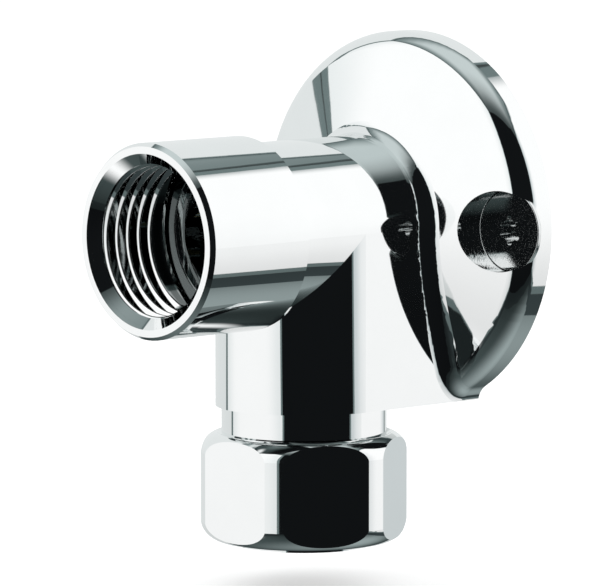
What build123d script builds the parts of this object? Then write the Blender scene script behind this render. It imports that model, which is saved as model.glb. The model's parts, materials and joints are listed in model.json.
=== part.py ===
"""Wall plate elbow: a threaded socket and a compression outlet on a round wall plate.

Units are millimetres and +Z is up. The wall plane is Y = 0 and the wall lies on its +Y side.
The socket runs along -Y from the wall, and the outlet leg points down, along -Z.
"""
import math
import os

from build123d import *

# Socket: lengths are measured from the wall plane along -Y.
socket_length = 47.0
socket_radius = 12.25
socket_front_length = 16.3
socket_edge_radial = 0.43
socket_edge_axial = 0.6
body_radius = 11.25

# Socket thread: G 1/2, root at the wall of the bore, crests left to the scene.
socket_thread_radius = 10.4775
socket_lead_in = 0.44
socket_depth = 11.4
waterway_radius = 5.3

# Leg: the outlet axis stands this far from the wall plane.
leg_offset = 20.0
leg_drop = 22.5
neck_plain = 4.6
neck_length = 10.6
neck_lead_in = 0.5
neck_thread_depth = 1.162
neck_wall = 1.7555
pipe_depth = 9.0
neck_cone_depth = 1.4
neck_cone_angle = 22.5
outlet_bore_radius = 6.0

# Wall plate: a shallow cone with a rounded rim, cut flat level with the leg's step.
plate_radius = 24.2
plate_rim = 2.4
plate_round = 3.1
plate_slope = 20.6
plate_blend = 2.6

# Fixing screws: one each side of the socket, countersunk, with a six-lobe recess.
screw_edge = 3.8
screw_head_radius = 5.08
screw_head_gap = 0.05
screw_head_land = 0.5
screw_head_edge = 0.1
screw_head_angle = 90.0
screw_cone_foot = 0.66
screw_shank_radius = 2.5
screw_hole_gap = 0.3
screw_tip_inset = 0.2
star_outer = 3.75
star_inner = 2.8
star_lobe_radius = 0.44
star_depth = 1.3
star_lobes = 6

# Compression nut: hexagon turned round at its corners, heights measured down from the leg's step.
nut_across_flats = 24.0
nut_wall = 1.4625
nut_corner = 1.2
nut_gap = 3.4
nut_height = 13.7
nut_shoulder = 1.95
nut_shoulder_drop = 2.4
nut_foot = 2.1
nut_foot_rise = 2.4
nut_bulge = 0.32
nut_lip_wall = 1.24
nut_lip_height = 0.6
nut_running_gap = 0.06
nut_lead_in = 0.55
nut_floor = 2.0
nut_cone_angle = 45.0

# Olive: a brass ring with a cone at each end, held between the neck and the nut.
olive_wall = 1.44
olive_end_wall = 0.45
olive_seat_gap = 0.05

# Positions worked out from the sizes above.
leg_step = -leg_drop
neck_end = leg_step - neck_length
nut_top = leg_step - nut_gap
nut_bottom = nut_top - nut_height
lip_bottom = nut_bottom - nut_lip_height
nut_bore_radius = nut_across_flats / 2.0 - nut_wall
nut_turned_radius = nut_across_flats / 2.0 + nut_corner
nut_top_radius = nut_turned_radius - nut_shoulder
nut_bottom_radius = nut_turned_radius - nut_foot
neck_radius = nut_bore_radius - nut_running_gap
neck_root_radius = neck_radius - neck_thread_depth
bore_radius = neck_root_radius - neck_wall
nut_lip_radius = bore_radius + nut_lip_wall
slope_sin = math.sin(math.radians(plate_slope))
slope_cos = math.cos(math.radians(plate_slope))
slope_tan = math.tan(math.radians(plate_slope))
cone_edge_radius = plate_radius - plate_round * (1.0 - slope_sin)
cone_edge_height = plate_rim + plate_round * slope_cos
cone_top_radius = body_radius / 2.0
cone_top_height = cone_edge_height + (cone_edge_radius - cone_top_radius) * slope_tan
web_end = leg_step - plate_radius
screw_axis = plate_radius - screw_edge
screw_cone_tan = math.tan(math.radians(screw_head_angle / 2.0))
screw_seat = screw_cone_foot + (screw_head_radius - screw_shank_radius) / screw_cone_tan
screw_face = screw_seat + screw_head_land
leg_axis = Axis((0, -leg_offset, 0), (0, 0, 1))
leg_section = Plane.XZ.offset(leg_offset)
neck_cone_tan = math.tan(math.radians(neck_cone_angle))
nut_cone_tan = math.tan(math.radians(nut_cone_angle))
neck_cone_radius = bore_radius + neck_cone_depth * neck_cone_tan
nut_seat = lip_bottom + nut_floor

with BuildPart() as elbow_body:
    # Wall plate, turned about the socket axis.
    with BuildSketch(Plane.XY):
        with BuildLine():
            round_mid = math.radians((90.0 + plate_slope) / 2.0)
            Polyline((0, 0), (plate_radius, 0), (plate_radius, -plate_rim))
            ThreePointArc(
                (plate_radius, -plate_rim),
                (
                    plate_radius - plate_round * (1.0 - math.sin(round_mid)),
                    -plate_rim - plate_round * math.cos(round_mid),
                ),
                (cone_edge_radius, -cone_edge_height),
            )
            Polyline(
                (cone_edge_radius, -cone_edge_height),
                (cone_top_radius, -cone_top_height),
                (0, -cone_top_height),
                (0, 0),
            )
        make_face()
    revolve(axis=Axis.Y)

    # Socket, with its bevelled front edge and the step behind it.
    with BuildSketch(Plane.XY):
        with BuildLine():
            Polyline(
                (0, 0),
                (body_radius, 0),
                (body_radius, socket_front_length - socket_length),
                (socket_radius, socket_front_length - socket_length),
                (socket_radius, socket_edge_axial - socket_length),
                (socket_radius - socket_edge_radial, -socket_length),
                (0, -socket_length),
                close=True,
            )
        make_face()
    revolve(axis=Axis.Y)

    # Leg and the flat-sided web that joins it to the plate, made long and trimmed after blending.
    with BuildSketch(Plane.XY.offset(web_end)):
        with Locations((0, -leg_offset)):
            Circle(body_radius)
        with Locations((0, -leg_offset / 2.0)):
            Rectangle(2.0 * body_radius, leg_offset)
    extrude(amount=-web_end)

    # Blend where the body runs into the sloping face of the plate.
    blend_edges = [
        edge
        for edge in elbow_body.edges()
        if -cone_top_height < (edge @ 0.5).Y < -plate_rim / 10.0
        and abs(math.hypot((edge @ 0.5).X, max((edge @ 0.5).Z, 0.0)) - body_radius) < 0.01
    ]
    fillet(blend_edges, radius=plate_blend)

    # Flat underside, level with the leg's step.
    with BuildSketch(Plane.XY.offset(leg_step)):
        Rectangle(4.0 * plate_radius, 4.0 * socket_length)
    extrude(amount=-2.0 * plate_radius, mode=Mode.SUBTRACT)

    # Neck: a plain collar, then the thread's root with the crests left to the scene.
    with BuildSketch(leg_section):
        with BuildLine():
            Polyline(
                (0, leg_step / 2.0),
                (neck_radius, leg_step / 2.0),
                (neck_radius, leg_step - neck_plain),
                (neck_root_radius, leg_step - neck_plain),
                (neck_root_radius, neck_end + neck_lead_in),
                (neck_root_radius - neck_lead_in, neck_end),
                (0, neck_end),
                close=True,
            )
        make_face()
    revolve(axis=leg_axis)

    # Socket bore with its lead-in, and the waterway behind it.
    with BuildSketch(Plane.XY):
        with BuildLine():
            Polyline(
                (0, -socket_length),
                (socket_thread_radius + socket_lead_in, -socket_length),
                (socket_thread_radius, socket_lead_in - socket_length),
                (socket_thread_radius, socket_depth - socket_length),
                (waterway_radius, socket_depth - socket_length),
                (waterway_radius, -leg_offset),
                (0, -leg_offset),
                close=True,
            )
        make_face()
    revolve(axis=Axis.Y, mode=Mode.SUBTRACT)

    # Outlet bore: pipe socket with a stop, and a cone for the olive at its mouth.
    with BuildSketch(leg_section):
        with BuildLine():
            Polyline(
                (0, neck_end),
                (neck_cone_radius, neck_end),
                (bore_radius, neck_end + neck_cone_depth),
                (bore_radius, neck_end + pipe_depth),
                (outlet_bore_radius, neck_end + pipe_depth),
                (outlet_bore_radius, 0),
                (0, 0),
                close=True,
            )
        make_face()
    revolve(axis=leg_axis, mode=Mode.SUBTRACT)

    # Fixing holes, countersunk, with the slope cleared in front of each head.
    with Locations(Plane.XZ.offset(screw_seat)):
        with GridLocations(2.0 * screw_axis, 0, 2, 1):
            CounterSinkHole(
                radius=screw_shank_radius + screw_hole_gap,
                counter_sink_radius=screw_head_radius + screw_head_gap,
                counter_sink_angle=screw_head_angle,
            )
elbow_body.part.label = "elbow_body"

with BuildPart() as compression_nut:
    # Outside turned with rounded shoulders, then cut to a hexagon.
    shoulder_mid = (
        (nut_top_radius + nut_turned_radius) / 2.0 + nut_bulge,
        nut_top - nut_shoulder_drop / 2.0 + nut_bulge,
    )
    foot_mid = (
        (nut_bottom_radius + nut_turned_radius) / 2.0 + nut_bulge,
        nut_bottom + nut_foot_rise / 2.0 - nut_bulge,
    )
    with BuildSketch(leg_section):
        with BuildLine():
            Polyline((0, nut_top), (nut_top_radius, nut_top))
            ThreePointArc(
                (nut_top_radius, nut_top),
                shoulder_mid,
                (nut_turned_radius, nut_top - nut_shoulder_drop),
            )
            Line(
                (nut_turned_radius, nut_top - nut_shoulder_drop),
                (nut_turned_radius, nut_bottom + nut_foot_rise),
            )
            ThreePointArc(
                (nut_turned_radius, nut_bottom + nut_foot_rise),
                foot_mid,
                (nut_bottom_radius, nut_bottom),
            )
            Polyline(
                (nut_bottom_radius, nut_bottom),
                (nut_lip_radius, nut_bottom),
                (nut_lip_radius, lip_bottom),
                (0, lip_bottom),
                (0, nut_top),
            )
        make_face()
    revolve(axis=leg_axis)
    with BuildSketch(Plane.XY.offset(nut_top)):
        with Locations((0, -leg_offset)):
            RegularPolygon(nut_across_flats / 2.0, 6, major_radius=False)
    extrude(amount=lip_bottom - nut_top, mode=Mode.INTERSECT)

    # Bore for the neck's thread, a cone for the olive, and the hole the pipe passes through.
    nut_cone_height = (nut_bore_radius - bore_radius) / nut_cone_tan
    with BuildSketch(leg_section):
        with BuildLine():
            Polyline(
                (0, nut_top),
                (nut_bore_radius + nut_lead_in, nut_top),
                (nut_bore_radius, nut_top - nut_lead_in),
                (nut_bore_radius, nut_seat + nut_cone_height),
                (bore_radius, nut_seat),
                (bore_radius, lip_bottom),
                (0, lip_bottom),
                close=True,
            )
        make_face()
    revolve(axis=leg_axis, mode=Mode.SUBTRACT)
compression_nut.part.label = "compression_nut"

with BuildPart() as olive:
    # The upper cone sits in the neck's mouth and the lower one in the nut.
    olive_end_radius = bore_radius + olive_end_wall
    olive_outer_radius = bore_radius + olive_wall
    olive_swell = olive_wall - olive_end_wall
    olive_top = neck_end + (neck_cone_radius - olive_end_radius) / neck_cone_tan - olive_seat_gap
    olive_bottom = nut_seat + olive_end_wall / nut_cone_tan + olive_seat_gap
    with BuildSketch(leg_section):
        with BuildLine():
            Polyline(
                (bore_radius, olive_top),
                (olive_end_radius, olive_top),
                (olive_outer_radius, olive_top - olive_swell / neck_cone_tan),
                (olive_outer_radius, olive_bottom + olive_swell / nut_cone_tan),
                (olive_end_radius, olive_bottom),
                (bore_radius, olive_bottom),
                close=True,
            )
        make_face()
    revolve(axis=leg_axis)
olive.part.label = "olive"

with BuildPart() as fixing_screw_right:
    # Countersunk head with a short land at its edge, and the shank as far as the wall plane.
    with BuildSketch(Plane.XY):
        with BuildLine():
            Polyline(
                (screw_axis, -screw_tip_inset),
                (screw_axis + screw_shank_radius, -screw_tip_inset),
                (screw_axis + screw_shank_radius, -screw_cone_foot),
                (screw_axis + screw_head_radius, -screw_seat),
                (screw_axis + screw_head_radius, -screw_face),
                (screw_axis, -screw_face),
                close=True,
            )
        make_face()
    revolve(axis=Axis((screw_axis, 0, 0), (0, 1, 0)))
    head_face = fixing_screw_right.faces().sort_by(Axis.Y)[0]
    fillet(head_face.edges(), radius=screw_head_edge)

    # Six-lobe recess, two of its lobes on the vertical.
    with BuildSketch(Plane.XZ.offset(screw_face)):
        with Locations((screw_axis, 0)):
            Circle(star_inner / 2.0)
            with PolarLocations(star_outer / 2.0 - star_lobe_radius, star_lobes, start_angle=90):
                Circle(star_lobe_radius)
    extrude(amount=-star_depth, mode=Mode.SUBTRACT)
fixing_screw_right.part.label = "fixing_screw_right"

with BuildPart() as fixing_screw_left:
    mirror(fixing_screw_right.part, about=Plane.YZ)
fixing_screw_left.part.label = "fixing_screw_left"

os.makedirs("parts", exist_ok=True)
export_step(elbow_body.part, "parts/elbow_body.step")
export_step(compression_nut.part, "parts/compression_nut.step")
export_step(olive.part, "parts/olive.step")
export_step(fixing_screw_right.part, "parts/fixing_screw_right.step")
export_step(fixing_screw_left.part, "parts/fixing_screw_left.step")
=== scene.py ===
"""Finishes, screw threads and studio for a wall plate elbow, laid out as a Blender add-on."""

import json
import math

import bpy
from bpy.props import FloatProperty, FloatVectorProperty, IntProperty, PointerProperty
from mathutils import Matrix, Vector


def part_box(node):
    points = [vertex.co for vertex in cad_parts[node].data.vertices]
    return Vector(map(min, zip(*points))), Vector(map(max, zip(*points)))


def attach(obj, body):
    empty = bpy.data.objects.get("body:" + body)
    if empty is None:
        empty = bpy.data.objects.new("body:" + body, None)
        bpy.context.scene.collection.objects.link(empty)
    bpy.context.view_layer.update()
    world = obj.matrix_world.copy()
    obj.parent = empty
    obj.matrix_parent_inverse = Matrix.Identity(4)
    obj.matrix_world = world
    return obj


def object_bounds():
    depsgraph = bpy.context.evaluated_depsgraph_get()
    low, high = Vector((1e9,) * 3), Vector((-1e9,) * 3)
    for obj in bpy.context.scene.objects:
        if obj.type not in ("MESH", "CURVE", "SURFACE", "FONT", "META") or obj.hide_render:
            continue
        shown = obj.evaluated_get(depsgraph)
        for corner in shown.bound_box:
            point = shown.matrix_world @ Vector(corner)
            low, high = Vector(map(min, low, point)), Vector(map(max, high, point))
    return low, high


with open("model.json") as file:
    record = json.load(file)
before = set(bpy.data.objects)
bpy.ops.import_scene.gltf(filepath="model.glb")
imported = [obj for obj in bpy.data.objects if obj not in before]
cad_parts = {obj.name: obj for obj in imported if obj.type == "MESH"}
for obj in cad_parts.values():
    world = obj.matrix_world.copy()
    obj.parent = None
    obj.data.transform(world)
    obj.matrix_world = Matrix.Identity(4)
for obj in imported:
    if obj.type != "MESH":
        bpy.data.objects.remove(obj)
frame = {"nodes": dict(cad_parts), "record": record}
cad_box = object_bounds()

bl_info = {
    "name": "Wall Plate Elbow",
    "version": (1, 0, 0),
    "blender": (4, 5, 0),
    "location": "View3D > Sidebar > Elbow",
    "description": "Finishes, screw threads and studio for a wall plate elbow",
    "category": "Object",
}

MILLIMETRE = 0.001
IMAGE_WIDTH = 590
UP = Vector((0.0, 0.0, 1.0))
RECORD = frame["record"]


def named(items, name):
    """The item of that name in one of the record's lists."""
    return next(item for item in items if item["name"] == name)


SOCKET = named(RECORD["mounts"], "socket_thread")
SOCKET_RADIUS = SOCKET["dims"]["r_mm"] * MILLIMETRE
SOCKET_MOUTH = cad_box[0][1]
LEG_OFFSET = named(RECORD["mounts"], "pipe_bore")["pos_m"][1]
NUT_TRAVEL = named(RECORD["behaviour"]["joints"], "nut_travel")["range_m"][1]
FLOOR_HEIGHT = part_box("compression_nut")[0][2] - NUT_TRAVEL


# Shared node helpers.

# Most of a noise texture's values lie in this part of its range.
NOISE_PART = (0.3, 0.7)


def add_node(tree, kind, **settings):
    """Add a node to a tree and set its properties."""
    node = tree.nodes.new(kind)
    for name, value in settings.items():
        setattr(node, name, value)
    return node


def math_node(tree, operation, first, second=0.0):
    """Add a Math node whose two inputs are numbers or sockets, and return its output."""
    node = add_node(tree, "ShaderNodeMath", operation=operation)
    for socket, value in zip(node.inputs, (first, second)):
        if isinstance(value, bpy.types.NodeSocket):
            tree.links.new(value, socket)
        else:
            socket.default_value = value
    return node.outputs[0]


def distance_from_axis(tree, place, axes):
    """Distance of a separated place from the origin across two axes."""
    squares = [math_node(tree, "MULTIPLY", place.outputs[axis], place.outputs[axis]) for axis in axes]
    return math_node(tree, "SQRT", math_node(tree, "ADD", *squares))


def set_surface(tree, output):
    """Show a shader's output on the surface."""
    tree.links.new(output, tree.nodes["Material Output"].inputs["Surface"])


def new_material(name):
    """A node material with only its output and a Principled shader."""
    material = bpy.data.materials.new(name)
    material.use_nodes = True
    shader = material.node_tree.nodes["Principled BSDF"]
    return material, material.node_tree, shader


def noise_at(tree, scale, detail, stretch=(1.0, 1.0, 1.0)):
    """Noise on object coordinates, stretched along the axes."""
    place = add_node(tree, "ShaderNodeTexCoord")
    mapping = add_node(tree, "ShaderNodeMapping")
    mapping.inputs["Scale"].default_value = stretch
    noise = add_node(tree, "ShaderNodeTexNoise")
    noise.inputs["Scale"].default_value = scale
    noise.inputs["Detail"].default_value = detail
    tree.links.new(place.outputs["Object"], mapping.inputs["Vector"])
    tree.links.new(mapping.outputs["Vector"], noise.inputs["Vector"])
    return noise.outputs["Fac"]


def spread(tree, source, low, high, part=NOISE_PART):
    """Map a part of a noise's range to the range from low to high."""
    node = add_node(tree, "ShaderNodeMapRange")
    for name, value in zip(("From Min", "From Max", "To Min", "To Max"), (*part, low, high)):
        node.inputs[name].default_value = value
    tree.links.new(source, node.inputs["Value"])
    return node.outputs["Result"]


def ease(tree, source, start, end):
    """A smooth step of a value from 0 at the start to 1 at the end."""
    node = add_node(tree, "ShaderNodeMapRange", interpolation_type="SMOOTHSTEP")
    node.inputs["From Min"].default_value = start
    node.inputs["From Max"].default_value = end
    tree.links.new(source, node.inputs["Value"])
    return node.outputs["Result"]


def tint(tree, source, dark, light):
    """Mix two colours, each three numbers or a socket, by a value."""
    node = add_node(tree, "ShaderNodeMix", data_type="RGBA")
    colour_inputs = [socket for socket in node.inputs if socket.type == "RGBA"]
    for socket, colour in zip(colour_inputs, (dark, light)):
        if isinstance(colour, bpy.types.NodeSocket):
            tree.links.new(colour, socket)
        else:
            socket.default_value = (*colour, 1.0)
    tree.links.new(source, node.inputs["Factor"])
    return next(socket for socket in node.outputs if socket.type == "RGBA")


def bump(tree, source, shader, distance):
    """Feed a height to the shader's normal."""
    node = add_node(tree, "ShaderNodeBump")
    node.inputs["Distance"].default_value = distance
    tree.links.new(source, node.inputs["Height"])
    tree.links.new(node.outputs["Normal"], shader.inputs["Normal"])


# Finishes.

CLOUD_DETAIL = 3.0
RIPPLE_DETAIL = 1.0
RING_DETAIL = 2.0
RING_STRETCH = (0.02, 0.02, 1.0)


def bore_shade_mask(tree, settings):
    """Mask of painted shade: one on the bottom of the socket and in the waterway behind it, zero on the
    rest of the body.
    """
    place = add_node(tree, "ShaderNodeSeparateXYZ")
    tree.links.new(add_node(tree, "ShaderNodeTexCoord").outputs["Object"], place.inputs["Vector"])
    reach = distance_from_axis(tree, place, "XZ")
    near_axis = math_node(tree, "LESS_THAN", reach, SOCKET_RADIUS + settings.bore_shade_blend)
    before_wall = math_node(tree, "LESS_THAN", place.outputs["Y"], LEG_OFFSET / 2.0)
    bottom = SOCKET_MOUTH + settings.bore_shade_start
    deep = ease(tree, place.outputs["Y"], bottom, bottom + settings.bore_shade_blend)
    return math_node(tree, "MULTIPLY", deep, math_node(tree, "MULTIPLY", near_axis, before_wall))


def chrome_finish(name, settings, bore_shaded=False):
    """Bright plating: almost a mirror, with faint clouds and ripples, and painted shade that darkens it
    deep in a bore.
    """
    material, tree, shader = new_material(name)
    shader.inputs["Metallic"].default_value = 1.0
    clouds = noise_at(tree, settings.cloud_scale, CLOUD_DETAIL)
    worn = tuple(channel * settings.cloud_tone for channel in settings.colour)
    colour = tint(tree, clouds, worn, tuple(settings.colour))
    if bore_shaded:
        # Painted shade: deep in the socket and in the waterway behind it the chrome is darkened to a dull
        # grey.
        colour = tint(tree, bore_shade_mask(tree, settings), colour, tuple(settings.bore_shade_colour))
    tree.links.new(colour, shader.inputs["Base Color"])
    roughness = spread(tree, clouds, settings.roughness, settings.roughness + settings.haze)
    tree.links.new(roughness, shader.inputs["Roughness"])
    bump(tree, noise_at(tree, settings.ripple_scale, RIPPLE_DETAIL), shader, settings.ripple)
    return material


def steel_finish(name, settings):
    """Polished steel with a fine grain whose specks are dull."""
    material, tree, shader = new_material(name)
    shader.inputs["Metallic"].default_value = 1.0
    grain = noise_at(tree, settings.grain_scale, settings.grain_detail)
    dull = tuple(channel * settings.grain_tone for channel in settings.colour)
    tree.links.new(tint(tree, grain, dull, tuple(settings.colour)), shader.inputs["Base Color"])
    specks = spread(tree, grain, settings.roughness, settings.speck_roughness, part=settings.speck_part)
    tree.links.new(specks, shader.inputs["Roughness"])
    bump(tree, grain, shader, settings.grain_depth)
    return material


def brass_finish(name, settings):
    """Turned brass with fine rings round its axis."""
    material, tree, shader = new_material(name)
    shader.inputs["Metallic"].default_value = 1.0
    rings = noise_at(tree, settings.ring_scale, RING_DETAIL, stretch=RING_STRETCH)
    dull = tuple(channel * settings.ring_tone for channel in settings.colour)
    tree.links.new(tint(tree, rings, dull, tuple(settings.colour)), shader.inputs["Base Color"])
    roughness = spread(tree, rings, settings.roughness, settings.ring_roughness)
    tree.links.new(roughness, shader.inputs["Roughness"])
    bump(tree, rings, shader, settings.ring_depth)
    return material


def give_finish(node_name, material):
    """Put one material on a CAD node."""
    slots = frame["nodes"][node_name].data.materials
    slots.clear()
    slots.append(material)


# Screw threads.

SHARP_ANGLE = math.radians(30.0)
POINT_GAP = 0.0001 * MILLIMETRE
CREST_POINTS = 4
# A cone that starts a metre up the axis is clear of the ridge and trims nothing.
NO_LEAD_IN = {"Lead In Radius": 0.0, "Lead In Height": 1.0}
THREAD_INPUTS = (
    ("Wall Radius", "NodeSocketFloat"),
    ("Pitch", "NodeSocketFloat"),
    ("Turns", "NodeSocketFloat"),
    ("Ridge Height", "NodeSocketFloat"),
    ("Ridge Base", "NodeSocketFloat"),
    ("Ridge Crest", "NodeSocketFloat"),
    ("Crest Corner", "NodeSocketFloat"),
    ("Sink", "NodeSocketFloat"),
    ("Run Out", "NodeSocketFloat"),
    ("Steps", "NodeSocketInt"),
    ("Outward", "NodeSocketFloat"),
    ("Lead In Radius", "NodeSocketFloat"),
    ("Lead In Height", "NodeSocketFloat"),
    ("Material", "NodeSocketMaterial"),
)


def thread_tree(name):
    """Geometry nodes that wind a ridge up the Z axis from Z = 0, and trim it to a lead-in cone."""
    tree = bpy.data.node_groups.new(name, "GeometryNodeTree")
    tree.interface.new_socket("Geometry", in_out="OUTPUT", socket_type="NodeSocketGeometry")
    for label, kind in THREAD_INPUTS:
        tree.interface.new_socket(label, in_out="INPUT", socket_type=kind)
    size = add_node(tree, "NodeGroupInput").outputs
    link = tree.links.new

    helix = add_node(tree, "GeometryNodeCurveSpiral")
    helix.inputs["Reverse"].default_value = True
    link(size["Steps"], helix.inputs["Resolution"])
    link(size["Turns"], helix.inputs["Rotations"])
    link(size["Wall Radius"], helix.inputs["Start Radius"])
    link(size["Wall Radius"], helix.inputs["End Radius"])
    link(math_node(tree, "MULTIPLY", size["Turns"], size["Pitch"]), helix.inputs["Height"])
    upright = add_node(tree, "GeometryNodeSetCurveNormal", mode="Z_UP")
    link(helix.outputs["Curve"], upright.inputs["Curve"])

    # The ridge's section stands on the wall, its foot sunk a little into it.
    widening = math_node(tree, "SUBTRACT", size["Ridge Base"], size["Ridge Crest"])
    taper = math_node(tree, "DIVIDE", widening, size["Ridge Height"])
    foot = math_node(tree, "ADD", size["Ridge Base"], math_node(tree, "MULTIPLY", taper, size["Sink"]))
    section = add_node(tree, "GeometryNodeCurvePrimitiveQuadrilateral", mode="TRAPEZOID")
    section.inputs["Offset"].default_value = 0.0
    link(math_node(tree, "ADD", size["Ridge Height"], size["Sink"]), section.inputs["Height"])
    link(size["Ridge Crest"], section.inputs["Top Width"])
    link(foot, section.inputs["Bottom Width"])
    rounded = add_node(tree, "GeometryNodeFilletCurve", mode="POLY")
    rounded.inputs["Count"].default_value = CREST_POINTS
    rounded.inputs["Limit Radius"].default_value = True
    link(section.outputs["Curve"], rounded.inputs["Curve"])
    link(size["Crest Corner"], rounded.inputs["Radius"])
    above_sink = math_node(tree, "SUBTRACT", size["Ridge Height"], size["Sink"])
    lift = math_node(tree, "DIVIDE", above_sink, 2.0)
    turn = add_node(tree, "ShaderNodeCombineXYZ")
    link(math_node(tree, "MULTIPLY", size["Outward"], -math.radians(90.0)), turn.inputs["Z"])
    rise = add_node(tree, "ShaderNodeCombineXYZ")
    link(math_node(tree, "MULTIPLY", size["Outward"], lift), rise.inputs["X"])
    turned = add_node(tree, "GeometryNodeTransform")
    link(rounded.outputs["Curve"], turned.inputs["Geometry"])
    link(turn.outputs["Vector"], turned.inputs["Rotation"])
    link(rise.outputs["Vector"], turned.inputs["Translation"])

    # The section shrinks to nothing over the run-out at each end, where its points become one.
    along = add_node(tree, "GeometryNodeSplineParameter").outputs["Factor"]
    to_end = math_node(tree, "MINIMUM", along, math_node(tree, "SUBTRACT", 1.0, along))
    fade = math_node(tree, "MINIMUM", math_node(tree, "DIVIDE", to_end, size["Run Out"]), 1.0)
    ridge = add_node(tree, "GeometryNodeCurveToMesh")
    ridge.inputs["Fill Caps"].default_value = True
    link(upright.outputs["Curve"], ridge.inputs["Curve"])
    link(turned.outputs["Geometry"], ridge.inputs["Profile Curve"])
    link(fade, ridge.inputs["Scale"])
    closed = add_node(tree, "GeometryNodeMergeByDistance")
    closed.inputs["Distance"].default_value = POINT_GAP
    link(ridge.outputs["Mesh"], closed.inputs["Geometry"])

    # Points inside the lead-in cone move out to it.
    spot = add_node(tree, "ShaderNodeSeparateXYZ")
    link(add_node(tree, "GeometryNodeInputPosition").outputs["Position"], spot.inputs["Vector"])
    reach = distance_from_axis(tree, spot, "XY")
    drop = math_node(tree, "SUBTRACT", size["Lead In Height"], spot.outputs["Z"])
    cone = math_node(tree, "SUBTRACT", size["Lead In Radius"], drop)
    grow = math_node(tree, "DIVIDE", math_node(tree, "MAXIMUM", reach, cone), reach)
    trimmed_place = add_node(tree, "ShaderNodeCombineXYZ")
    link(math_node(tree, "MULTIPLY", spot.outputs["X"], grow), trimmed_place.inputs["X"])
    link(math_node(tree, "MULTIPLY", spot.outputs["Y"], grow), trimmed_place.inputs["Y"])
    link(spot.outputs["Z"], trimmed_place.inputs["Z"])
    trimmed = add_node(tree, "GeometryNodeSetPosition")
    link(closed.outputs["Geometry"], trimmed.inputs["Geometry"])
    link(trimmed_place.outputs["Vector"], trimmed.inputs["Position"])

    smooth = add_node(tree, "GeometryNodeSetShadeSmooth")
    real = add_node(tree, "GeometryNodeRealizeInstances")
    painted = add_node(tree, "GeometryNodeSetMaterial")
    done = add_node(tree, "NodeGroupOutput")
    link(trimmed.outputs["Geometry"], smooth.inputs["Geometry"])
    link(smooth.outputs["Geometry"], real.inputs["Geometry"])
    link(real.outputs["Geometry"], painted.inputs["Geometry"])
    link(size["Material"], painted.inputs["Material"])
    link(painted.outputs["Geometry"], done.inputs["Geometry"])
    return tree


def plain_object(name, carrier, axis, foot):
    """Make a carrier with modifiers a plain mesh, and set its Z axis along the axis on the foot."""
    evaluated = carrier.evaluated_get(bpy.context.evaluated_depsgraph_get())
    mesh = bpy.data.meshes.new_from_object(evaluated)
    carrier.modifiers.clear()
    bpy.data.objects.remove(carrier)
    mesh.name = name
    turn = UP.rotation_difference(Vector(axis)).to_matrix().to_4x4()
    mesh.transform(Matrix.Translation(Vector(foot)) @ turn)
    if not mesh.polygons:
        raise RuntimeError(f"{name} came out empty")
    piece = bpy.data.objects.new(name, mesh)
    bpy.context.collection.objects.link(piece)
    return piece


def thread_values(shape, sizes):
    """Inputs of the thread tree: the shape that both threads share, and the sizes of one of them."""
    shared = {
        "Pitch": shape.pitch,
        "Ridge Height": shape.height,
        "Ridge Base": shape.base,
        "Ridge Crest": shape.crest,
        "Crest Corner": shape.corner,
        "Sink": shape.sink,
        "Steps": shape.steps,
        "Material": frame["nodes"]["elbow_body"].data.materials[0],
    }
    return {**shared, **sizes}


def wind_thread(name, values, axis, foot):
    """Run the thread tree and set its ridge along the axis on the foot, as a plain mesh."""
    tree = thread_tree(name + "_tree")
    carrier = bpy.data.objects.new(name + "_carrier", bpy.data.meshes.new(name + "_carrier"))
    bpy.context.collection.objects.link(carrier)
    modifier = carrier.modifiers.new("Thread", "NODES")
    carrier.modifiers.new("Flat Flanks", "WEIGHTED_NORMAL")
    modifier.node_group = tree
    for item in tree.interface.items_tree:
        if item.in_out == "INPUT":
            modifier[item.identifier] = values[item.name]
    return plain_object(name, carrier, axis, foot)


def turn_ring(name, section, steps, axis, foot, material):
    """Turn a closed section of radii and heights into a ring, and set it along the axis on the foot."""
    outline = bpy.data.meshes.new(name + "_section")
    last = len(section) - 1
    edges = [(index, index + 1) for index in range(last)] + [(last, 0)]
    outline.from_pydata([(radius, 0.0, height) for radius, height in section], edges, [])
    carrier = bpy.data.objects.new(name + "_carrier", outline)
    bpy.context.collection.objects.link(carrier)
    lathe = carrier.modifiers.new("Lathe", "SCREW")
    lathe.steps = steps
    lathe.render_steps = steps
    lathe.use_normal_flip = True
    lathe.use_merge_vertices = True
    lathe.merge_threshold = POINT_GAP
    ring = plain_object(name, carrier, axis, foot)
    ring.data.shade_smooth()
    ring.data.set_sharp_from_angle(angle=SHARP_ANGLE)
    ring.data.materials.append(material)
    return ring


def mouth_section(shape):
    """Section of the ring that takes the socket's lead-in on to its first crest.

    It keeps the lead-in's slope, and behind the crest it falls back like a thread's flank.
    """
    rise = SOCKET_RADIUS - shape.mouth_crest
    lead_in = shape.socket_mouth_radius - SOCKET_RADIUS
    crest_end = lead_in + rise + shape.mouth_land
    flank = rise * (shape.base - shape.crest) / (2.0 * shape.height)
    return (
        (SOCKET_RADIUS + shape.sink, -lead_in),
        (SOCKET_RADIUS, -lead_in),
        (shape.mouth_crest, -lead_in - rise),
        (shape.mouth_crest, -crest_end),
        (SOCKET_RADIUS, -crest_end - flank),
        (SOCKET_RADIUS + shape.sink, -crest_end - flank),
    )


# Studio.

# Shares of a panel's side: its frame's soft edge, the line at its border, and where it is dimmed.
FRAME_EDGE = 0.004
CORNER_LINE = 0.004
FAR_DIM = (0.5, 1.0)
LOW_DIM = (0.4, 0.0)
NO_FALL = (1.0, 1.0)
UV_MIDDLE = 0.5
# Corners of a panel in order, as steps from its middle.
SQUARE = ((-1.0, -1.0), (1.0, -1.0), (1.0, 1.0), (-1.0, 1.0))
BACKGROUND_RAYS = ("Is Camera Ray", "Is Glossy Ray", "Is Transmission Ray")
WHITE = (1.0, 1.0, 1.0, 1.0)
CLIP_START = 0.01


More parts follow.
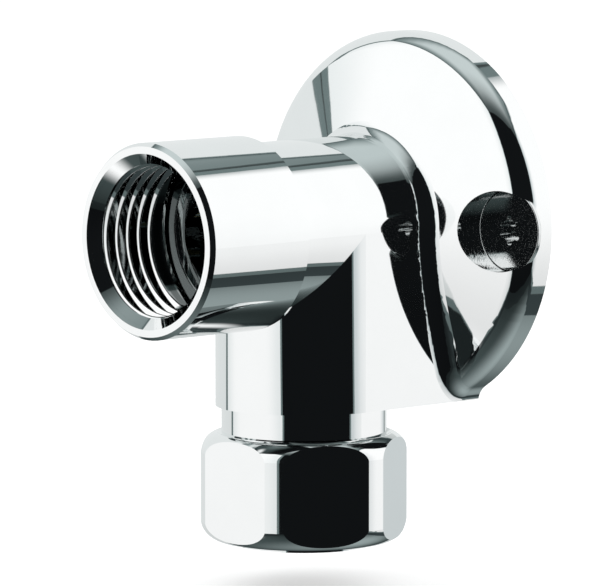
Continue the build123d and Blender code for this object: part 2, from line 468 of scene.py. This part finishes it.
def largest(tree, values):
    """The largest of some sockets' values."""
    result = values[0]
    for value in values[1:]:
        result = math_node(tree, "MAXIMUM", result, value)
    return result


def glow_material(name):
    """A node material with only its output and a glow."""
    material, tree, shader = new_material(name)
    tree.nodes.remove(shader)
    return material, tree, add_node(tree, "ShaderNodeEmission")


def panel_material(name, tones, frames, fade, dim, top_fall=0.0, spot=None):
    """A glowing panel on its UV map, with a plain frame and a thin line at its border.

    Its tone falls from the middle to the edge, or outwards from a spot of centre and radius. It is dimmed
    along its height from the first share to the second, down to the third, and fades at its top.
    """
    material, tree, glow = glow_material(name)
    uv = add_node(tree, "ShaderNodeUVMap").outputs["UV"]
    place = add_node(tree, "ShaderNodeSeparateXYZ")
    tree.links.new(uv, place.inputs["Vector"])
    falls = []
    borders = []
    lines = []
    for axis, width, start in zip("XY", frames, fade):
        offset = math_node(tree, "ABSOLUTE", math_node(tree, "SUBTRACT", place.outputs[axis], UV_MIDDLE))
        inner = UV_MIDDLE - width
        falls.append(ease(tree, offset, inner * start, inner))
        borders.append(ease(tree, offset, inner, inner + FRAME_EDGE))
        lines.append(ease(tree, offset, UV_MIDDLE - CORNER_LINE, UV_MIDDLE - CORNER_LINE / 2.0))
    if top_fall:
        borders.append(ease(tree, place.outputs["Y"], 1.0 - top_fall, 1.0))
    if spot:
        *centre, radius = spot
        away = add_node(tree, "ShaderNodeVectorMath", operation="DISTANCE")
        away.inputs[1].default_value = (*centre, 0.0)
        tree.links.new(uv, away.inputs[0])
        falls = [ease(tree, away.outputs["Value"], 0.0, radius)]
    colour, *outer_tones = tones
    for steps, tone in zip((falls, borders, lines), outer_tones):
        colour = tint(tree, largest(tree, steps), colour, tone)
    dim_start, dim_end, dim_share = dim
    dimmed = ease(tree, place.outputs["Y"], dim_start, dim_end)
    level = math_node(tree, "SUBTRACT", 1.0, math_node(tree, "MULTIPLY", dimmed, 1.0 - dim_share))
    tree.links.new(colour, glow.inputs["Color"])
    tree.links.new(level, glow.inputs["Strength"])
    set_surface(tree, glow.outputs["Emission"])
    return material


def add_panel(name, corners, material):
    """A four-cornered panel that only mirrors see, its UV running from the first corner to the third."""
    mesh = bpy.data.meshes.new(name)
    mesh.from_pydata([tuple(corner) for corner in corners], [], [(0, 1, 2, 3)])
    layer = mesh.uv_layers.new(name="UVMap")
    for loop, uv in zip(layer.data, ((0, 0), (1, 0), (1, 1), (0, 1))):
        loop.uv = uv
    mesh.materials.append(material)
    panel = bpy.data.objects.new(name, mesh)
    bpy.context.collection.objects.link(panel)
    panel.visible_camera = False
    panel.visible_diffuse = False
    panel.visible_shadow = False
    panel.visible_volume_scatter = False


def add_room(studio):
    """Four walls, a ceiling and a ground for the chrome to mirror, the wall behind the camera dark."""
    turn = studio.room_turn
    forward = Vector((math.sin(turn), -math.cos(turn), 0.0))
    right = Vector((math.cos(turn), math.sin(turn), 0.0))

    def corner(along, across, height):
        return forward * along + right * across + UP * height

    front, back = studio.room_front, -studio.room_back
    left_side, right_side = -studio.room_left, studio.room_right
    top, bottom = studio.room_top, -studio.room_bottom
    height = top - bottom
    border_tones = (studio.frame_tone, studio.line_tone)
    white_tones = (studio.wall_tone, studio.wall_edge_tone, *border_tones)
    right_tones = (studio.wall_tone, studio.right_edge_tone, *border_tones)
    back_tones = (studio.back_tone, studio.back_tone, *border_tones)
    dark_tones = (studio.dark_tone,) * len(white_tones)

    def wall(name, start, end, tones, top_fall=0.0):
        low = [corner(*start, bottom), corner(*end, bottom)]
        high = [corner(*end, top), corner(*start, top)]
        frames = (studio.wall_frame / (low[1] - low[0]).length, studio.wall_frame / height)
        fade = (studio.wall_fade, 1.0)
        dim = (*LOW_DIM, studio.low_share)
        material = panel_material(name, tones, frames, fade, dim, top_fall=top_fall / height)
        add_panel(name, low + high, material)

    wall("studio_front", (front, left_side), (front, right_side), dark_tones)
    wall("studio_right", (front, right_side), (back, right_side), right_tones, top_fall=studio.top_fall)
    wall("studio_back", (back, right_side), (back, left_side), back_tones)
    wall("studio_left", (back, left_side), (front, left_side), white_tones)

    def level(name, place, tones, frame_width, fade, spot=None):
        low = [corner(back, left_side, place), corner(back, right_side, place)]
        high = [corner(front, right_side, place), corner(front, left_side, place)]
        frames = (frame_width / (right_side - left_side), frame_width / (front - back))
        dim = (*FAR_DIM, studio.far_share)
        add_panel(name, low + high, panel_material(name, tones, frames, fade, dim, spot=spot))

    ceiling_border = (studio.ceiling_frame_tone, studio.line_tone)
    ceiling_tones = (studio.ceiling_tone, studio.ceiling_edge_tone, *ceiling_border)
    ceiling_fade = (studio.ceiling_fade, studio.ceiling_fade)
    level("studio_ceiling", top, ceiling_tones, studio.ceiling_frame, ceiling_fade)
    ground_border = (studio.ground_frame_tone, studio.ground_frame_tone)
    ground_tones = (studio.ground_tone, studio.ground_edge_tone, *ground_border)
    level("studio_ground", bottom, ground_tones, studio.ground_frame, NO_FALL, spot=studio.ground_spot)


def highlight_card_material(name, tone):
    """A glow on the UV map that fades from the middle to nothing at the edge, for a painted highlight."""
    material, tree, glow = glow_material(name)
    glow.inputs["Color"].default_value = (*tone, 1.0)
    away = add_node(tree, "ShaderNodeVectorMath", operation="DISTANCE")
    away.inputs[1].default_value = (UV_MIDDLE, UV_MIDDLE, 0.0)
    tree.links.new(add_node(tree, "ShaderNodeUVMap").outputs["UV"], away.inputs[0])
    clear = add_node(tree, "ShaderNodeBsdfTransparent")
    mix = add_node(tree, "ShaderNodeMixShader")
    tree.links.new(ease(tree, away.outputs["Value"], 0.0, UV_MIDDLE), mix.inputs["Fac"])
    tree.links.new(glow.outputs["Emission"], mix.inputs[1])
    tree.links.new(clear.outputs["BSDF"], mix.inputs[2])
    set_surface(tree, mix.outputs["Shader"])
    return material


def add_highlight_card(studio):
    """A small glowing card below the socket's mouth that only mirrors see, no lamp, which puts a painted
    highlight on the upper side of its lead-in.
    """
    middle = Vector(studio.highlight_card_place)
    normal = (Vector((0.0, SOCKET_MOUTH, 0.0)) - middle).normalized()
    across = normal.orthogonal().normalized() * studio.highlight_card_size / 2.0
    along = normal.cross(across)
    corners = [middle + across * u + along * v for u, v in SQUARE]
    add_panel("studio_highlight_card", corners, highlight_card_material("studio_highlight_card", studio.wall_tone))


def background_rays(tree):
    """One for rays from the camera, a mirror or glass, which see the white background, else zero."""
    rays = add_node(tree, "ShaderNodeLightPath").outputs
    return largest(tree, [rays[kind] for kind in BACKGROUND_RAYS])


def add_floor(studio):
    """A pale floor below the nut's lowest place, bright to the camera and holding the part's shadow."""
    half = studio.floor_size / 2.0
    corners = [(half * x, half * y, FLOOR_HEIGHT) for x, y in SQUARE]
    mesh = bpy.data.meshes.new("floor")
    mesh.from_pydata(corners, [], [(0, 1, 2, 3)])
    material, tree, shader = new_material("pale_floor")
    shader.inputs["Base Color"].default_value = (*studio.floor_colour, 1.0)
    shader.inputs["Roughness"].default_value = 1.0
    shader.inputs["Specular IOR Level"].default_value = 0.0
    glow = add_node(tree, "ShaderNodeEmission")
    level = math_node(tree, "MULTIPLY", background_rays(tree), studio.floor_glow)
    tree.links.new(level, glow.inputs["Strength"])
    both = add_node(tree, "ShaderNodeAddShader")
    tree.links.new(shader.outputs["BSDF"], both.inputs[0])
    tree.links.new(glow.outputs["Emission"], both.inputs[1])
    set_surface(tree, both.outputs["Shader"])
    mesh.materials.append(material)
    floor = bpy.data.objects.new("floor", mesh)
    bpy.context.collection.objects.link(floor)
    floor.visible_glossy = False


def add_lamp(name, place, studio):
    """A soft square lamp."""
    light = bpy.data.lights.new(name, "AREA")
    light.size = studio.lamp_size
    light.energy = studio.lamp_power
    lamp = bpy.data.objects.new(name, light)
    lamp.location = place
    aim = Vector(studio.lamp_aim) - Vector(place)
    lamp.rotation_euler = aim.to_track_quat("-Z", "Y").to_euler()
    lamp.visible_glossy = False
    bpy.context.collection.objects.link(lamp)


def set_world(studio):
    """White to the camera and to mirrors, a plain level for everything else."""
    world = bpy.data.worlds.new("studio")
    world.use_nodes = True
    tree = world.node_tree
    plain = tree.nodes["Background"]
    plain.inputs["Color"].default_value = WHITE
    plain.inputs["Strength"].default_value = studio.fill
    white = add_node(tree, "ShaderNodeBackground")
    white.inputs["Color"].default_value = WHITE
    mix = add_node(tree, "ShaderNodeMixShader")
    tree.links.new(background_rays(tree), mix.inputs["Fac"])
    tree.links.new(plain.outputs["Background"], mix.inputs[1])
    tree.links.new(white.outputs["Background"], mix.inputs[2])
    tree.links.new(mix.outputs["Shader"], tree.nodes["World Output"].inputs["Surface"])
    bpy.context.scene.world = world


def add_camera(studio):
    """The photograph's viewpoint."""
    data = bpy.data.cameras.new("camera")
    data.sensor_fit = "HORIZONTAL"
    data.sensor_width = studio.sensor_width
    data.lens = studio.sensor_width * studio.focal_pixels / IMAGE_WIDTH
    data.clip_start = CLIP_START
    camera = bpy.data.objects.new("camera", data)
    camera.location = studio.camera_place
    aim = Vector(studio.camera_aim) - Vector(studio.camera_place)
    camera.rotation_euler = aim.to_track_quat("-Z", "Y").to_euler()
    bpy.context.collection.objects.link(camera)
    bpy.context.scene.camera = camera


# Settings.


class ElbowChrome(bpy.types.PropertyGroup):
    """Bright plating on the body and the nut."""

    colour: FloatVectorProperty(
        name="Colour",
        description="Colour of the plating",
        subtype="COLOR",
        default=(0.90, 0.915, 0.915),
        min=0,
        max=1,
    )
    # Painted shade: the bore colour, start and blend darken the chrome deep in the socket and in the
    # waterway, where the bore lies in shade.
    bore_shade_colour: FloatVectorProperty(
        name="Bore Shade Colour",
        description="Painted shade deep in the socket",
        subtype="COLOR",
        default=(0.34, 0.36, 0.36),
        min=0,
        max=1,
    )
    bore_shade_start: FloatProperty(
        name="Bore Shade Start",
        description="From the mouth to where the painted shade starts",
        unit="LENGTH",
        default=10.6 * MILLIMETRE,
        precision=6,
    )
    bore_shade_blend: FloatProperty(
        name="Bore Shade Blend",
        description="Length over which the painted shade comes in",
        unit="LENGTH",
        default=0.4 * MILLIMETRE,
        precision=6,
    )
    cloud_tone: FloatProperty(
        name="Cloud Tone", description="Darkest clouding as a share of the colour", default=0.96
    )
    cloud_scale: FloatProperty(name="Cloud Scale", description="Clouds per metre", default=180.0)
    roughness: FloatProperty(
        name="Roughness", description="Blur of the mirror", subtype="FACTOR", default=0.02
    )
    haze: FloatProperty(
        name="Haze", description="Extra blur in the clouds", subtype="FACTOR", default=0.02
    )
    ripple_scale: FloatProperty(name="Ripple Scale", description="Ripples per metre", default=260.0)
    ripple: FloatProperty(
        name="Ripple", description="Height of the ripples", unit="LENGTH", default=0.000002, precision=7
    )


class ElbowSteel(bpy.types.PropertyGroup):
    """Grained steel of the fixing screws."""

    colour: FloatVectorProperty(
        name="Colour",
        description="Colour of the steel",
        subtype="COLOR",
        default=(0.80, 0.82, 0.82),
        min=0,
        max=1,
    )
    grain_tone: FloatProperty(
        name="Grain Tone", description="Darkest grain as a share of the colour", default=0.9
    )
    grain_scale: FloatProperty(name="Grain Scale", description="Grains per metre", default=7200.0)
    grain_detail: FloatProperty(
        name="Grain Detail", description="Finer grain within the grain", default=1.0
    )
    grain_depth: FloatProperty(
        name="Grain Depth",
        description="Height of the grain",
        unit="LENGTH",
        default=0.000012,
        precision=6,
    )
    roughness: FloatProperty(
        name="Roughness", description="Blur of the finish", subtype="FACTOR", default=0.03
    )
    speck_roughness: FloatProperty(
        name="Speck Roughness", description="Blur of the specks", subtype="FACTOR", default=0.30
    )
    speck_part: FloatVectorProperty(
        name="Speck Part",
        description="Grain at which specks start and are full",
        size=2,
        default=(0.53, 0.68),
    )


class ElbowBrass(bpy.types.PropertyGroup):
    """Turned brass of the olive."""

    colour: FloatVectorProperty(
        name="Colour",
        description="Colour of the brass",
        subtype="COLOR",
        default=(0.78, 0.60, 0.30),
        min=0,
        max=1,
    )
    ring_scale: FloatProperty(name="Ring Scale", description="Turning marks per metre", default=6000.0)
    ring_depth: FloatProperty(
        name="Ring Depth", description="Height of the marks", unit="LENGTH", default=0.00001, precision=6
    )
    ring_tone: FloatProperty(
        name="Ring Tone", description="Darkest mark as a share of the colour", default=0.85
    )
    roughness: FloatProperty(
        name="Roughness", description="Blur of the finish", subtype="FACTOR", default=0.22
    )
    ring_roughness: FloatProperty(
        name="Ring Roughness", description="Blur of the marks", subtype="FACTOR", default=0.352
    )


class ElbowThread(bpy.types.PropertyGroup):
    """Shape of the screw threads, the same in the socket and on the neck."""

    pitch: FloatProperty(
        name="Pitch",
        description="From crest to crest",
        unit="LENGTH",
        default=1.814 * MILLIMETRE,
        precision=6,
    )
    height: FloatProperty(
        name="Height",
        description="From root to crest",
        unit="LENGTH",
        default=1.12 * MILLIMETRE,
        precision=6,
    )
    base: FloatProperty(
        name="Base",
        description="Width of a ridge at its root",
        unit="LENGTH",
        default=1.50 * MILLIMETRE,
        precision=6,
    )
    crest: FloatProperty(
        name="Crest",
        description="Width of a ridge at its crest",
        unit="LENGTH",
        default=0.26 * MILLIMETRE,
        precision=6,
    )
    corner: FloatProperty(
        name="Corner",
        description="Radius on the crest",
        unit="LENGTH",
        default=0.07 * MILLIMETRE,
        precision=6,
    )
    sink: FloatProperty(
        name="Sink",
        description="Foot of a ridge in the wall",
        unit="LENGTH",
        default=0.08 * MILLIMETRE,
        precision=6,
    )
    steps: IntProperty(name="Steps", description="Points in one turn", default=96)
    mouth_steps: IntProperty(name="Mouth Steps", description="Points round the lead-in", default=192)
    socket_run_out: FloatProperty(
        name="Socket Run Out",
        description="Share of the socket's thread that tapers at each end",
        default=0.06,
    )
    neck_run_out: FloatProperty(
        name="Neck Run Out",
        description="Share of the neck's thread that tapers at each end",
        default=0.08,
    )
    socket_turns: FloatProperty(
        name="Socket Turns", description="Turns of thread in the socket", default=5.4
    )
    socket_start: FloatProperty(
        name="Socket Start",
        description="From the mouth to the first of the ridge",
        unit="LENGTH",
        default=0.45 * MILLIMETRE,
        precision=6,
    )
    socket_mouth_radius: FloatProperty(
        name="Mouth Radius",
        description="Lead-in at the mouth",
        unit="LENGTH",
        default=10.9175 * MILLIMETRE,
        precision=6,
    )
    mouth_crest: FloatProperty(
        name="Mouth Crest",
        description="Radius at the end of the lead-in",
        unit="LENGTH",
        default=9.6 * MILLIMETRE,
        precision=6,
    )
    mouth_land: FloatProperty(
        name="Mouth Land",
        description="Width of the crest behind the lead-in",
        unit="LENGTH",
        default=0.15 * MILLIMETRE,
        precision=6,
    )
    mouth_cover: FloatProperty(
        name="Mouth Cover",
        description="From the lead-in to the ridge behind it",
        unit="LENGTH",
        default=0.03 * MILLIMETRE,
        precision=6,
    )
    neck_turns: FloatProperty(name="Neck Turns", description="Turns of thread on the neck", default=2.7)
    neck_root: FloatProperty(
        name="Neck Root",
        description="Root radius on the neck",
        unit="LENGTH",
        default=9.3155 * MILLIMETRE,
        precision=6,
    )
    neck_foot: FloatProperty(
        name="Neck Foot",
        description="Height of the lowest turn",
        unit="LENGTH",
        default=-32.6 * MILLIMETRE,
        precision=6,
    )


class ElbowStudio(bpy.types.PropertyGroup):
    """Camera, lamps and the room that the chrome mirrors."""

    camera_place: FloatVectorProperty(
        name="Camera Place",
        description="Where the camera stands",
        subtype="XYZ",
        unit="LENGTH",
        default=(0.534896, -0.527010, 0.070328),
    )
    camera_aim: FloatVectorProperty(
        name="Camera Aim",
        description="Point in the middle of the picture",
        subtype="XYZ",
        unit="LENGTH",
        default=(0.00171, -0.02319, -0.00791),
    )
    sensor_width: FloatProperty(
        name="Sensor Width", description="Sensor width in millimetres", default=36.0
    )
    focal_pixels: FloatProperty(
        name="Focal Length", description="Focal length in pixels of the picture", default=5857.3
    )
    floor_size: FloatProperty(
        name="Floor Size", description="Side of the floor", unit="LENGTH", default=8.0
    )
    floor_colour: FloatVectorProperty(
        name="Floor Colour",
        description="Colour of the floor",
        subtype="COLOR",
        default=(0.95, 0.95, 0.95),
        min=0,
        max=1,
    )
    floor_glow: FloatProperty(
        name="Floor Glow", description="Added brightness that lights nothing else", default=0.5
    )
    fill: FloatProperty(name="Fill", description="Level of the light from all round", default=0.6)
    lamp_power: FloatProperty(
        name="Lamp Power", description="Power of each soft lamp", unit="POWER", default=3.0
    )
    lamp_left_place: FloatVectorProperty(
        name="Left Lamp Place",
        description="Where the left lamp hangs",
        subtype="XYZ",
        unit="LENGTH",
        default=(-0.4, -1.0, 1.1),
    )
    lamp_right_place: FloatVectorProperty(
        name="Right Lamp Place",
        description="Where the right lamp hangs",
        subtype="XYZ",
        unit="LENGTH",
        default=(1.2, -0.1, 0.9),
    )
    lamp_aim: FloatVectorProperty(
        name="Lamp Aim",
        description="Point that both lamps face",
        subtype="XYZ",
        unit="LENGTH",
        default=(0.0, -0.02, 0.0),
    )
    lamp_size: FloatProperty(
        name="Lamp Size", description="Side of each soft lamp", unit="LENGTH", default=0.9
    )
    room_turn: FloatProperty(
        name="Room Turn",
        description="Direction of the dark wall from -Y towards +X",
        subtype="ANGLE",
        default=math.radians(64.3),
    )
    room_front: FloatProperty(
        name="Room Front", description="Distance to the dark wall", unit="LENGTH", default=2.0
    )
    room_back: FloatProperty(
        name="Room Back", description="Distance to the wall across from it", unit="LENGTH", default=2.18
    )
    room_left: FloatProperty(
        name="Room Left", description="Distance to the left wall", unit="LENGTH", default=2.035
    )
    room_right: FloatProperty(
        name="Room Right", description="Distance to the right wall", unit="LENGTH", default=2.26
    )
    room_top: FloatProperty(
        name="Room Top", description="Height of the ceiling", unit="LENGTH", default=2.81
    )
    room_bottom: FloatProperty(
        name="Room Bottom", description="Depth of the ground", unit="LENGTH", default=1.39
    )
    wall_frame: FloatProperty(
        name="Wall Frame", description="Grey border of a wall", unit="LENGTH", default=0.17
    )
    ceiling_frame: FloatProperty(
        name="Ceiling Frame", description="Dark border of the ceiling", unit="LENGTH", default=0.06
    )
    ground_frame: FloatProperty(
        name="Ground Frame", description="Dark border of the ground", unit="LENGTH", default=0.52
    )
    wall_fade: FloatProperty(
        name="Wall Fade", description="Where the walls start to fall off", subtype="FACTOR", default=0.44
    )
    low_share: FloatProperty(
        name="Low Share", description="Level of the walls at their foot", subtype="FACTOR", default=0.74
    )
    top_fall: FloatProperty(
        name="Top Fall",
        description="Height over which the right wall falls off at its top",
        unit="LENGTH",
        default=0.38,
    )
    ceiling_fade: FloatProperty(
        name="Ceiling Fade",
        description="Where the ceiling starts to fall off",
        subtype="FACTOR",
        default=0.45,
    )
    far_share: FloatProperty(
        name="Far Share",
        description="Level of ceiling and ground at the dark wall",
        subtype="FACTOR",
        default=0.3,
    )
    wall_tone: FloatVectorProperty(
        name="Wall Tone",
        description="Middle of the white walls",
        subtype="COLOR",
        default=(1.11, 1.11, 1.11),
        max=2,
    )
    wall_edge_tone: FloatVectorProperty(
        name="Wall Edge Tone",
        description="White walls at their border",
        subtype="COLOR",
        default=(0.93, 0.96, 0.96),
        max=2,
    )
    right_edge_tone: FloatVectorProperty(
        name="Right Edge Tone",
        description="Right wall at its border",
        subtype="COLOR",
        default=(0.68, 0.73, 0.74),
        max=2,
    )
    back_tone: FloatVectorProperty(
        name="Back Tone",
        description="Wall across from the dark one",
        subtype="COLOR",
        default=(0.83, 0.86, 0.86),
        max=2,
    )
    frame_tone: FloatVectorProperty(
        name="Frame Tone",
        description="Border of the white walls",
        subtype="COLOR",
        default=(0.17, 0.22, 0.22),
    )
    line_tone: FloatVectorProperty(
        name="Line Tone",
        description="Corner between two panels",
        subtype="COLOR",
        default=(0.05, 0.06, 0.06),
    )
    dark_tone: FloatVectorProperty(
        name="Dark Tone", description="The dark wall", subtype="COLOR", default=(0.0062, 0.0072, 0.0080)
    )
    ceiling_tone: FloatVectorProperty(
        name="Ceiling Tone",
        description="Middle of the ceiling",
        subtype="COLOR",
        default=(0.62, 0.69, 0.69),
    )
    ceiling_edge_tone: FloatVectorProperty(
        name="Ceiling Edge Tone",
        description="Ceiling at its border",
        subtype="COLOR",
        default=(0.20, 0.25, 0.25),
    )
    ceiling_frame_tone: FloatVectorProperty(
        name="Ceiling Frame Tone",
        description="Border of the ceiling",
        subtype="COLOR",
        default=(0.07, 0.09, 0.09),
    )
    ground_tone: FloatVectorProperty(
        name="Ground Tone",
        description="Lightest spot of the ground",
        subtype="COLOR",
        default=(0.33, 0.39, 0.39),
    )
    ground_edge_tone: FloatVectorProperty(
        name="Ground Edge Tone",
        description="Ground away from its spot",
        subtype="COLOR",
        default=(0.06, 0.08, 0.08),
    )
    ground_frame_tone: FloatVectorProperty(
        name="Ground Frame Tone",
        description="Border of the ground",
        subtype="COLOR",
        default=(0.040, 0.053, 0.055),
    )
    ground_spot: FloatVectorProperty(
        name="Ground Spot",
        description="Centre and radius of the spot in shares of the ground",
        default=(0.68, 0.50, 0.41),
    )
    # Painted highlight: a glowing card, seen only by mirrors, that lights the upper side of the socket's
    # lead-in.
    highlight_card_place: FloatVectorProperty(
        name="Highlight Card Place",
        description="Middle of the glowing highlight card",
        subtype="XYZ",
        unit="LENGTH",
        default=(-0.021, -0.076, -0.065),
    )
    highlight_card_size: FloatProperty(
        name="Highlight Card Size", description="Side of the glowing highlight card", unit="LENGTH", default=0.055
    )


class ElbowSettings(bpy.types.PropertyGroup):
    """All settings of the elbow."""

    chrome: PointerProperty(name="Chrome", description="Plating of the body and the nut", type=ElbowChrome)
    steel: PointerProperty(name="Steel", description="Finish of the fixing screws", type=ElbowSteel)
    brass: PointerProperty(name="Brass", description="Finish of the olive", type=ElbowBrass)
    thread: PointerProperty(name="Thread", description="Shape of the screw threads", type=ElbowThread)
    studio: PointerProperty(name="Studio", description="Camera, lamps and room", type=ElbowStudio)


# Operators.


class ELBOW_OT_plate_body(bpy.types.Operator):
    """Put the bright plating on the elbow's body, with painted shade deep in its socket"""

    bl_idname = "elbow.plate_body"
    bl_label = "Plate the Body"

    def execute(self, context):
        give_finish("elbow_body", chrome_finish("body_chrome", context.scene.elbow.chrome, bore_shaded=True))
        return {"FINISHED"}


class ELBOW_OT_plate_nut(bpy.types.Operator):
    """Put the bright plating on the compression nut"""

    bl_idname = "elbow.plate_nut"
    bl_label = "Plate the Nut"

    def execute(self, context):
        give_finish("compression_nut", chrome_finish("nut_chrome", context.scene.elbow.chrome))
        return {"FINISHED"}


class ELBOW_OT_finish_olive(bpy.types.Operator):
    """Give the olive its turned brass"""

    bl_idname = "elbow.finish_olive"
    bl_label = "Finish the Olive"

    def execute(self, context):
        give_finish("olive", brass_finish("olive_brass", context.scene.elbow.brass))
        return {"FINISHED"}


class ELBOW_OT_finish_screws(bpy.types.Operator):
    """Give the fixing screws their grained steel"""

    bl_idname = "elbow.finish_screws"
    bl_label = "Finish the Screws"

    def execute(self, context):
        steel = steel_finish("screw_steel", context.scene.elbow.steel)
        for name in ("fixing_screw_left", "fixing_screw_right"):
            give_finish(name, steel)
        return {"FINISHED"}


class ELBOW_OT_cut_socket_thread(bpy.types.Operator):
    """Wind the thread inside the socket and turn the lead-in at its mouth"""

    bl_idname = "elbow.cut_socket_thread"
    bl_label = "Cut the Socket Thread"

    def execute(self, context):
        shape = context.scene.elbow.thread
        depth = shape.socket_start + shape.socket_turns * shape.pitch
        sizes = {
            "Wall Radius": SOCKET_RADIUS,
            "Turns": shape.socket_turns,
            "Run Out": shape.socket_run_out,
            "Outward": -1.0,
            "Lead In Radius": shape.socket_mouth_radius + shape.mouth_cover,
            "Lead In Height": depth,
        }
        values = thread_values(shape, sizes)
        axis = SOCKET["axis"]
        thread = wind_thread("socket_thread", values, axis, (0.0, SOCKET_MOUTH + depth, 0.0))
        mouth = (0.0, SOCKET_MOUTH, 0.0)
        section = mouth_section(shape)
        ring = turn_ring("socket_mouth", section, shape.mouth_steps, axis, mouth, values["Material"])
        for piece in (thread, ring):
            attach(piece, "elbow")
        return {"FINISHED"}


class ELBOW_OT_cut_neck_thread(bpy.types.Operator):
    """Wind the thread on the neck that the nut runs on"""

    bl_idname = "elbow.cut_neck_thread"
    bl_label = "Cut the Neck Thread"

    def execute(self, context):
        shape = context.scene.elbow.thread
        sizes = {
            "Wall Radius": shape.neck_root,
            "Turns": shape.neck_turns,
            "Run Out": shape.neck_run_out,
            "Outward": 1.0,
            **NO_LEAD_IN,
        }
        foot = (0.0, LEG_OFFSET, shape.neck_foot)
        thread = wind_thread("neck_thread", thread_values(shape, sizes), UP, foot)
        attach(thread, "elbow")
        return {"FINISHED"}


class ELBOW_OT_set_stage(bpy.types.Operator):
    """Set up the camera, the lamps, the pale floor and the room that the chrome mirrors"""

    bl_idname = "elbow.set_stage"
    bl_label = "Set the Stage"

    def execute(self, context):
        studio = context.scene.elbow.studio
        set_world(studio)
        add_room(studio)
        add_highlight_card(studio)
        add_floor(studio)
        add_lamp("lamp_left", studio.lamp_left_place, studio)
        add_lamp("lamp_right", studio.lamp_right_place, studio)
        add_camera(studio)
        context.scene.view_settings.view_transform = "Standard"
        return {"FINISHED"}


class ELBOW_PT_steps(bpy.types.Panel):
    """The steps that finish the elbow"""

    bl_idname = "ELBOW_PT_steps"
    bl_label = "Wall Plate Elbow"
    bl_space_type = "VIEW_3D"
    bl_region_type = "UI"
    bl_category = "Elbow"

    def draw(self, context):
        for step in STEPS:
            self.layout.operator(step.bl_idname)


STEPS = (
    ELBOW_OT_plate_body,
    ELBOW_OT_plate_nut,
    ELBOW_OT_finish_olive,
    ELBOW_OT_finish_screws,
    ELBOW_OT_cut_socket_thread,
    ELBOW_OT_cut_neck_thread,
    ELBOW_OT_set_stage,
)
GROUPS = (ElbowChrome, ElbowSteel, ElbowBrass, ElbowThread, ElbowStudio, ElbowSettings)


def register():
    """Register the settings, the operators and the panel."""
    for item in (*GROUPS, *STEPS, ELBOW_PT_steps):
        bpy.utils.register_class(item)
    bpy.types.Scene.elbow = PointerProperty(type=ElbowSettings)


def unregister():
    """Take them away again."""
    del bpy.types.Scene.elbow
    for item in reversed((*GROUPS, *STEPS, ELBOW_PT_steps)):
        bpy.utils.unregister_class(item)


def main():
    """Run every step in order."""
    register()
    for step in STEPS:
        group, name = step.bl_idname.split(".")
        getattr(getattr(bpy.ops, group), name)()


if __name__ == "__main__":
    main()
